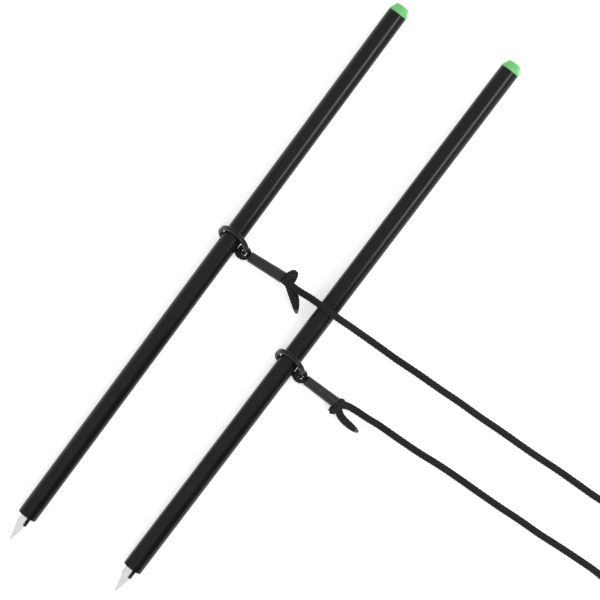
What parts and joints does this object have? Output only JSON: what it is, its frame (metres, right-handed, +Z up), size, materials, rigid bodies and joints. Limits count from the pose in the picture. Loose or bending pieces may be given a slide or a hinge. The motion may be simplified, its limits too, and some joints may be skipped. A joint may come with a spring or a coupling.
{
  "type": "corded marker stake set",
  "caption": "Slim black ground stakes with coloured end caps and steel points, joined through split rings, sleeves and knots by a long braided cord that is stored in a tied coil.",
  "frame": {"origin": "on the surface that the set lies on, at the middle of the footprint of the stakes and rings", "axes": "+Z up from the surface, +Y along the first stake towards its end cap, +X towards the cord and its stored coil"},
  "size_m": [0.4941, 0.5343, 0.0285],
  "materials": {
    "tube_black": "satin black anodised",
    "cap_green": "moulded, slightly glossy",
    "spike_steel": "turned and polished",
    "ring_black": "gloss black",
    "sleeve_grey": "smooth, half gloss",
    "cord_black": "braided",
    "tie_black": "woven strap"
  },
  "bodies": {
    "line": {"cord_run_a": "cord_black", "cord_run_b": "cord_black", "cord_coil": "cord_black", "coil_tie": "tie_black", "knot_a": "cord_black", "tag_end_a": "cord_black", "knot_b": "cord_black", "tag_end_b": "cord_black"},
    "stake_a": {"tube_a": "tube_black", "end_cap_a": "cap_green", "spike_a": "spike_steel"},
    "stake_b": {"tube_b": "tube_black", "end_cap_b": "cap_green", "spike_b": "spike_steel"},
    "link_a": {"sleeve_a": "sleeve_grey", "cord_loop_a": "cord_black"},
    "link_b": {"sleeve_b": "sleeve_grey", "cord_loop_b": "cord_black"},
    "ring_a": {"split_ring_a": "ring_black"},
    "ring_b": {"split_ring_b": "ring_black"}
  },
  "joints": [
    {"name": "stake_a_slide", "type": "slide", "parent": "line", "child": "stake_a", "axis": [0, 0.9999, 0.0163], "range_m": [-0.21, 0.26]},
    {"name": "link_a_twist", "type": "hinge", "parent": "line", "child": "link_a", "pos_m": [-0.03415, 0.02265, 0.0109], "axis": [0.9925, 0.0754, 0.0958], "range_deg": [-3, 20]},
    {"name": "ring_a_turn", "type": "hinge", "parent": "link_a", "child": "ring_a", "pos_m": [-0.0464, 0.0256, 0.01364], "axis": [0.1271, 0.9047, -0.4067], "continuous": true},
    {"name": "stake_b_slide", "type": "slide", "parent": "line", "child": "stake_b", "axis": [0.0127, 0.9997, 0.0212], "range_m": [-0.277, 0.194]},
    {"name": "link_b_twist", "type": "hinge", "parent": "line", "child": "link_b", "pos_m": [0.05873, -0.02843, 0.01163], "axis": [0.9886, -0.0128, -0.1497], "range_deg": [-3, 20]},
    {"name": "ring_b_turn", "type": "hinge", "parent": "link_b", "child": "ring_b", "pos_m": [0.0463, -0.02562, 0.01364], "axis": [0.1387, 0.903, -0.4067], "continuous": true}
  ]
}
